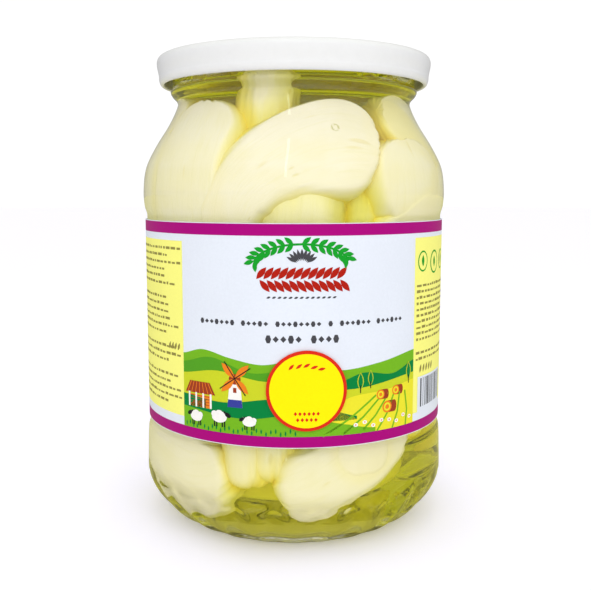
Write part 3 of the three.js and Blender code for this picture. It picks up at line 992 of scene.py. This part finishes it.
def farm():
    shapes = farm_field()
    shapes += placed(hay_shed(), -28.2, 42.2) + placed(windmill(), -16.6, 43.4)
    for facing, u, z, size in ((-1, -29.5, 39.4, 0.95), (1, -21.5, 40.2, 1.05), (-1, -12.4, 39.6, 0.85)):
        shapes += placed(sheep(facing), u, z, size)
    for height, u, z in ((5.0, 19, 48), (4.4, 22.2, 49), (5.4, 36.6, 48.8)):
        shapes += placed(poplar(height), u, z)
    for u, z, size in ((25.6, 46.2, 2.8), (31.2, 46.8, 2.8), (28.0, 42.4, 3.4)):
        shapes += placed(bale(), u, z, size)
    for i in range(8):
        u, z = 17.6 + i * 2.8, 38.4 + 0.7 * math.sin(i * 2.3)
        shapes += ink(6, WHITE, oval(u, z, 1.4, 1.1)) + ink(7, ORANGE, oval(u, z, 0.5, 0.45))
    return shapes


def plaited_ornament(middle, height):
    """A red plait of slanted blades under an arch of leaves, with a row of grey grains below."""
    shapes = []
    for i in range(12):
        u = middle - 12.4 + i * 2.0
        shapes += ink(3, RED, leaf(u, height - 0.25, 4.3, 1.7, 0.86))
        shapes += ink(3, RED, leaf(u + 0.9, height - 0.45, 4.3, 1.7, -0.86))
    turns = [math.pi * (0.06 + 0.88 * i / 16) for i in range(17)]
    arch = [(middle - 13.2 * math.cos(turn), height + 3.6 + 5.6 * math.sin(turn)) for turn in turns]
    shapes += ink(2, LEAF_GREEN, ribbon(arch, 0.6))
    for (u, z), (next_u, next_z) in zip(arch, arch[1:]):
        run = math.atan2(next_z - z, next_u - u)
        towards = run if u > middle - 0.5 else run + math.pi
        shapes += ink(3, LEAF_GREEN, *[leaf(u, z, 3.1, 1.3, towards + side) for side in (0.7, -0.7)])
    for i in range(9):
        turn = UPRIGHT + (i - 4) * 0.27
        u, z = middle + 1.5 * math.cos(turn), height + 3.9 + 0.9 * math.sin(turn)
        shapes += ink(3, SLATE, leaf(u, z, 3.2, 0.9, turn))
    return shapes + ink(3, SLATE, *leaf_row(13, middle - 9.6, 1.5, height - 5.4, 1.2, 0.55, 0.35))


def diamond_row(left, right, height, tall, groups):
    """A line of dark diamonds, split into groups of the given lengths."""
    pitch = (right - left) / (sum(groups) + len(groups) - 1)
    shapes = []
    u = left
    for group in groups:
        for i in range(group):
            size, steps = (0.72 * tall, 4) if i % 3 else (tall, 6)
            shapes += ink(2, SLATE, oval(u + pitch / 2, height, pitch * 0.8, size, steps=steps))
            u += pitch
        u += pitch
    return shapes


def side_panel(left, right, bottom, top, rows, seed):
    """A straw-coloured panel with lines of short dashes."""
    chance = np.random.default_rng(seed)
    shapes = ink(1, STRAW, bar(left, bottom, right, top))
    for z in rows:
        u = left + 1.2
        stop = right - chance.uniform(1, (right - left) * 0.3)
        while u < stop:
            dash = chance.uniform(0.7, 2.6)
            shapes += ink(2, OLIVE_GREY, bar(u, z, min(u + dash, right - 0.8), z + chance.uniform(0.5, 0.85)))
            u += dash + chance.uniform(0.4, 0.8)
    return shapes


def label_print():
    reach = LABEL_REACH - 0.3
    upper_band = bar(-reach, FIELD_TOP, reach, LABEL_TOP - PRINT_MARGIN)
    lower_band = bar(-reach, LABEL_BOTTOM + PRINT_MARGIN, reach, FIELD_BOTTOM)
    shapes = ink(1, MAGENTA, upper_band, lower_band)
    shapes += farm()
    shapes += plaited_ornament(2.2, 79.6)
    shapes += diamond_row(-27.7, 33.4, 67.2, 1.7, (7, 5, 8, 1, 6, 6))
    shapes += diamond_row(-8, 12.7, 63.0, 2.5, (5, 4))
    rows = [86.4 - 2.05 * i for i in range(23) if i not in (6, 13, 17)]
    shapes += side_panel(-66, PANEL_LEFT, 38.5, 89.0, rows, seed=3)
    shapes += ink(2, OLIVE_GREY, *leaf_row(4, -41.5, 1.5, 57.4, 2.4, 0.9, 1.2))
    rows = [75.4 - 1.75 * i for i in range(10)] + [55.6, 53.8]
    shapes += side_panel(PANEL_RIGHT, 70, 38.3, 89.7, rows, seed=8)
    for u, z, size in ((43.4, 82.8, 5.6), (51.5, 82.2, 6.4), (59.5, 82.5, 5.6)):
        shapes += ink(2, LEAF_GREEN, oval(u, z, size, size * 1.1))
        shapes += ink(3, STRAW, oval(u, z, size * 0.84, size * 0.93))
        shapes += ink(4, LEAF_GREEN, leaf(u, z - 1.6, 3.4, 1.5, 1.6))
    shapes += ink(2, OLIVE_GREY, *leaf_row(5, 42.6, 1.9, 49.9, 2.6, 1.1, 1.3))
    shapes += ink(3, PAPER, bar(41.4, 38.3, 60, 48.8))
    chance = np.random.default_rng(5)
    u = 43.0
    while u < 58.5:
        wide = chance.choice([0.3, 0.45, 0.75])
        shapes += ink(4, SLATE, bar(u, 39.6, u + wide, 48.2))
        u += wide + chance.choice([0.35, 0.55, 0.9])
    return shapes


def flat_print(name, shapes):
    """One mesh of flat ink, cut at upright lines so that it can bend. X is the way round."""
    mesh = bpy.data.meshes.new(name)
    sheet = bmesh.new()
    colours = sheet.loops.layers.float_color.new("ink")
    for layer, colour, outline in shapes:
        corners = [sheet.verts.new((u * MM, -layer * INK_STEP * MM, z * MM)) for u, z in outline]
        face = sheet.faces.new(corners)
        face.normal_update()
        if face.normal.y > 0:
            face.normal_flip()
        for loop in face.loops:
            loop[colours] = (*linear(colour), 1)
    bmesh.ops.triangulate(sheet, faces=sheet.faces[:])
    reach = int(max(abs(vertex.co.x) for vertex in sheet.verts) / MM / FOLD_STEP) + 1
    for i in range(-reach, reach + 1):
        crossed = sheet.verts[:] + sheet.edges[:] + sheet.faces[:]
        bmesh.ops.bisect_plane(sheet, geom=crossed, plane_co=(i * FOLD_STEP * MM, 0, 0), plane_no=(1, 0, 0))
    sheet.to_mesh(mesh)
    sheet.free()
    return mesh


def make_wrapping():
    """Group that bends a flat upright sheet round the jar. Its -Y becomes outwards."""
    group, given, end = new_group("wrapped_round", {"Sheet": None, "Radius": 0.047}, {"Sheet": None})
    x, y, z = split(put(group, "GeometryNodeInputPosition"))
    turn = x / given["Radius"]
    distance = given["Radius"] - y
    place = combine(distance * calc("SINE", turn), distance * calc("COSINE", turn) * -1, z)
    fill(end, {0: moved(given["Sheet"], place)})
    return group


WRAPPING = make_wrapping()


def wrapped(sheet, radius):
    inputs = {"Sheet": sheet, "Radius": radius}
    return put(sheet.tree, "GeometryNodeGroup", inputs, node_tree=WRAPPING)


def make_grain():
    """Shader group for the fine unevenness of paper and lacquer."""
    inputs = {"Place": Vector(), "Scale": 900.0, "Depth": 0.05}
    group, given, end = new_group("fine_grain", inputs, {"Tone": 0.0, "Height": 0.0}, "ShaderNodeTree")
    fine = noise(given["Place"], given["Scale"], detail=3)
    both = noise(given["Place"], scale=45, detail=2) * 0.5 + fine * 0.5
    fill(end, {"Tone": soft_step(both, 0.35, 0.65, 1 - given["Depth"], 1), "Height": fine})
    return group


GRAIN = make_grain()


def make_grained(name, colour, scale, depth, relief, finish):
    """Material of a screen colour, or of the ink that the mesh carries, with grain in it."""
    material, tree, shader = new_material(name)
    if colour is None:
        colour = put(tree, "ShaderNodeAttribute", attribute_name="ink")["Color"]
    else:
        colour = (*linear(colour), 1)
    place = put(tree, "ShaderNodeTexCoord")["Object"]
    inputs = {"Place": place, "Scale": scale, "Depth": depth}
    grain = put(tree, "ShaderNodeGroup", inputs, node_tree=GRAIN)
    toned = mix_colour(1, colour, grain["Tone"], "MULTIPLY")
    relief = bumped(grain["Height"], strength=0.4, distance=relief)
    fill(shader, {"Base Color": toned, "Normal": relief, **finish})
    return material


def make_printed(name, colour=None):
    """Coated paper of one colour, or with the ink that its mesh carries."""
    finish = {"Roughness": 0.5, "Specular IOR Level": 0.08}
    return make_grained(name, colour, scale=1400, depth=0.035, relief=0.02 * MM, finish=finish)


def printed_sheet(name, shapes, radius, material):
    inputs = {"Flat": None, "Radius": radius * MM}
    group, given, end = new_group(name + "_ink", inputs, {"Print": None})
    finish_tree(end, wrapped(given["Flat"], given["Radius"]), material)
    return grow(name, flat_print(name + "_flat", shapes), group)


def make_label():
    inputs = {
        "Length": 2 * LABEL_REACH * MM,
        "Height": (LABEL_TOP - LABEL_BOTTOM) * MM,
        "Thickness": (PAPER_OUTER - PAPER_INNER) * MM,
        "Middle Height": (LABEL_TOP + LABEL_BOTTOM) / 2 * MM,
        "Radius": (PAPER_OUTER + PAPER_INNER) / 2 * MM,
        "Columns": 285,
    }
    group, given, end = new_group("label_paper", inputs, {"Paper": None})
    size = combine(given["Length"], given["Thickness"], given["Height"])
    slab = {"Size": size, "Vertices X": given["Columns"], "Vertices Y": 2, "Vertices Z": 8}
    slab = put(group, "GeometryNodeMeshCube", slab)
    lifted = {"Geometry": slab, "Translation": combine(0, 0, given["Middle Height"])}
    slab = put(group, "GeometryNodeTransform", lifted)
    finish_tree(end, wrapped(slab, given["Radius"]), make_printed("label_paper", PAPER))
    paper = grow("label_paper", bpy.data.meshes.new("label_start"), group)
    inks = printed_sheet("label_print", label_print(), PAPER_OUTER, make_printed("label_ink"))
    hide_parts("label")
    for piece in (paper, inks):
        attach(piece, "root")


make_label()

# ---- Price sticker ---------------------------------------------------------------------------
# A round self-adhesive sticker of glossy yellow paper with a red rim, pressed onto the label over
# the printed field. It bends with the jar.

STICKER_RADIUS, STICKER_RIM = 11.2, 0.9
STICKER_ANGLE, STICKER_HEIGHT = 4.3, 48.8
STICKER_INNER, STICKER_OUTER = 47.22, 47.6
STICKER_YELLOW = (255, 240, 0)
STICKER_RED = (222, 44, 22)


def sticker_print(middle):
    """A red flourish over two rows of small red lozenges, with the rim round them."""
    sizes = (2 * STICKER_RADIUS, 2 * (STICKER_RADIUS - STICKER_RIM))
    edge, face = (oval(middle, STICKER_HEIGHT, size, size, steps=96) for size in sizes)
    shapes = ink(0, STICKER_RED, edge) + ink(1, STICKER_YELLOW, face)
    for side in (-4.0, -2.0, 0.0, 2.0, 4.0):
        z = STICKER_HEIGHT + 6.6 - 0.175 * abs(side)
        shapes += ink(2, STICKER_RED, leaf(middle + side - 1, z, 2.2, 0.8, 0.5 - 0.08 * side))
    for z, count in ((STICKER_HEIGHT - 6.3, 6), (STICKER_HEIGHT - 8.0, 5)):
        for i in range(count):
            u = middle + (i - (count - 1) / 2) * 1.25
            shapes += ink(2, STICKER_RED, oval(u, z, 0.95, 1.15, steps=4))
    return shapes


def make_sticker():
    middle = math.radians(STICKER_ANGLE) * STICKER_OUTER
    inputs = {
        "Disc Radius": STICKER_RADIUS * MM,
        "Thickness": (STICKER_OUTER - STICKER_INNER) * MM,
        "Way Round": middle * MM,
        "Height": STICKER_HEIGHT * MM,
        "Jar Radius": (STICKER_OUTER + STICKER_INNER) / 2 * MM,
    }
    group, given, end = new_group("sticker_disc", inputs, {"Disc": None})
    disc = {"Vertices": 96, "Fill Segments": 10, "Radius": given["Disc Radius"], "Depth": given["Thickness"]}
    disc = put(group, "GeometryNodeMeshCylinder", disc, fill_type="TRIANGLE_FAN")
    place = combine(given["Way Round"], 0, given["Height"])
    upright = {"Geometry": disc, "Translation": place, "Rotation": (UPRIGHT, 0, 0)}
    disc = put(group, "GeometryNodeTransform", upright)
    finish_tree(end, wrapped(disc, given["Jar Radius"]), make_printed("sticker_paper", STICKER_RED))
    disc = grow("price_sticker", bpy.data.meshes.new("sticker_start"), group)
    inks = printed_sheet("sticker_print", sticker_print(middle), STICKER_OUTER, make_printed("sticker_ink"))
    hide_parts("price_sticker")
    for piece in (disc, inks):
        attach(piece, "root")


make_sticker()

# ---- Lid -------------------------------------------------------------------------------------
# Tinplate, pressed and lacquered white: a sunk middle with a low button that clicks up when the
# seal breaks, a flat rim, and a skirt that narrows to a rolled curl gripping the jar's lugs.

LID_TOP, LID_BOTTOM = 143.7, 135.1
LID_RADIUS, CURL_RADIUS, STEP_RADIUS, BUTTON_RADIUS = 42.6, 41.0, 34.0, 13.0
STEP_DEPTH, BUTTON_RISE = 1.1, 0.4
LID_SHEET = 0.9
LACQUER = (235, 236, 232)
LACQUER_FINISH = {"Roughness": 0.3, "Specular IOR Level": 0.4, "Coat Weight": 0.3, "Coat Roughness": 0.12}

LID_PANEL = LID_TOP - STEP_DEPTH
LID_KNOTS = [
    (0, LID_PANEL + BUTTON_RISE),
    *knots_off(BUTTON_RADIUS, LID_PANEL + BUTTON_RISE, (-2.5, 0), (-1.0, -0.03)),
    *knots_off(BUTTON_RADIUS, LID_PANEL, (0, 0.03), (1.5, 0)),
    *knots_off(STEP_RADIUS, LID_PANEL, (-3, 0), (-1.4, 0.06), (-0.5, 0.6)),
    *knots_off(STEP_RADIUS, LID_TOP, (0.3, -0.06), (1.4, 0)),
    *knots_off(LID_RADIUS, LID_TOP, (-2.2, 0), (-1.2, -0.1), (-0.45, -0.6)),
    *knots_off(LID_RADIUS, LID_TOP, (-0.06, -1.4), (0, -2.2), (-0.1, -3.2)),
    *knots_off(LID_RADIUS, LID_BOTTOM, (-0.5, 3.4), (-0.62, 2.5), (-0.6, 1.9), (-0.75, 1.1)),
    *knots_off(CURL_RADIUS, LID_BOTTOM, (0.45, 0.3), (-0.1, 0), (-0.6, 0.25), (-0.7, 0.9), (-0.4, 1.6)),
    (LID_RADIUS - LID_SHEET - 0.3, LID_BOTTOM + 3.2),
    *knots_off(LID_RADIUS - LID_SHEET, LID_TOP, (0, -3.2), (-0.2, -1.9), (-1.4, -LID_SHEET)),
    (STEP_RADIUS + 0.6, LID_TOP - LID_SHEET),
    *knots_off(STEP_RADIUS, LID_PANEL - LID_SHEET, (-0.9, 0), (-3, 0)),
    (0, LID_PANEL - LID_SHEET),
]


def make_lid():
    lacquer = make_grained(
        "white_lacquer", LACQUER, scale=500, depth=0.02, relief=0.03 * MM, finish=LACQUER_FINISH
    )
    lid = turned_piece("lid", rounded(LID_KNOTS[::-1], steps=4), segments=192, material=lacquer)
    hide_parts("lid")
    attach(lid, "root")


make_lid()
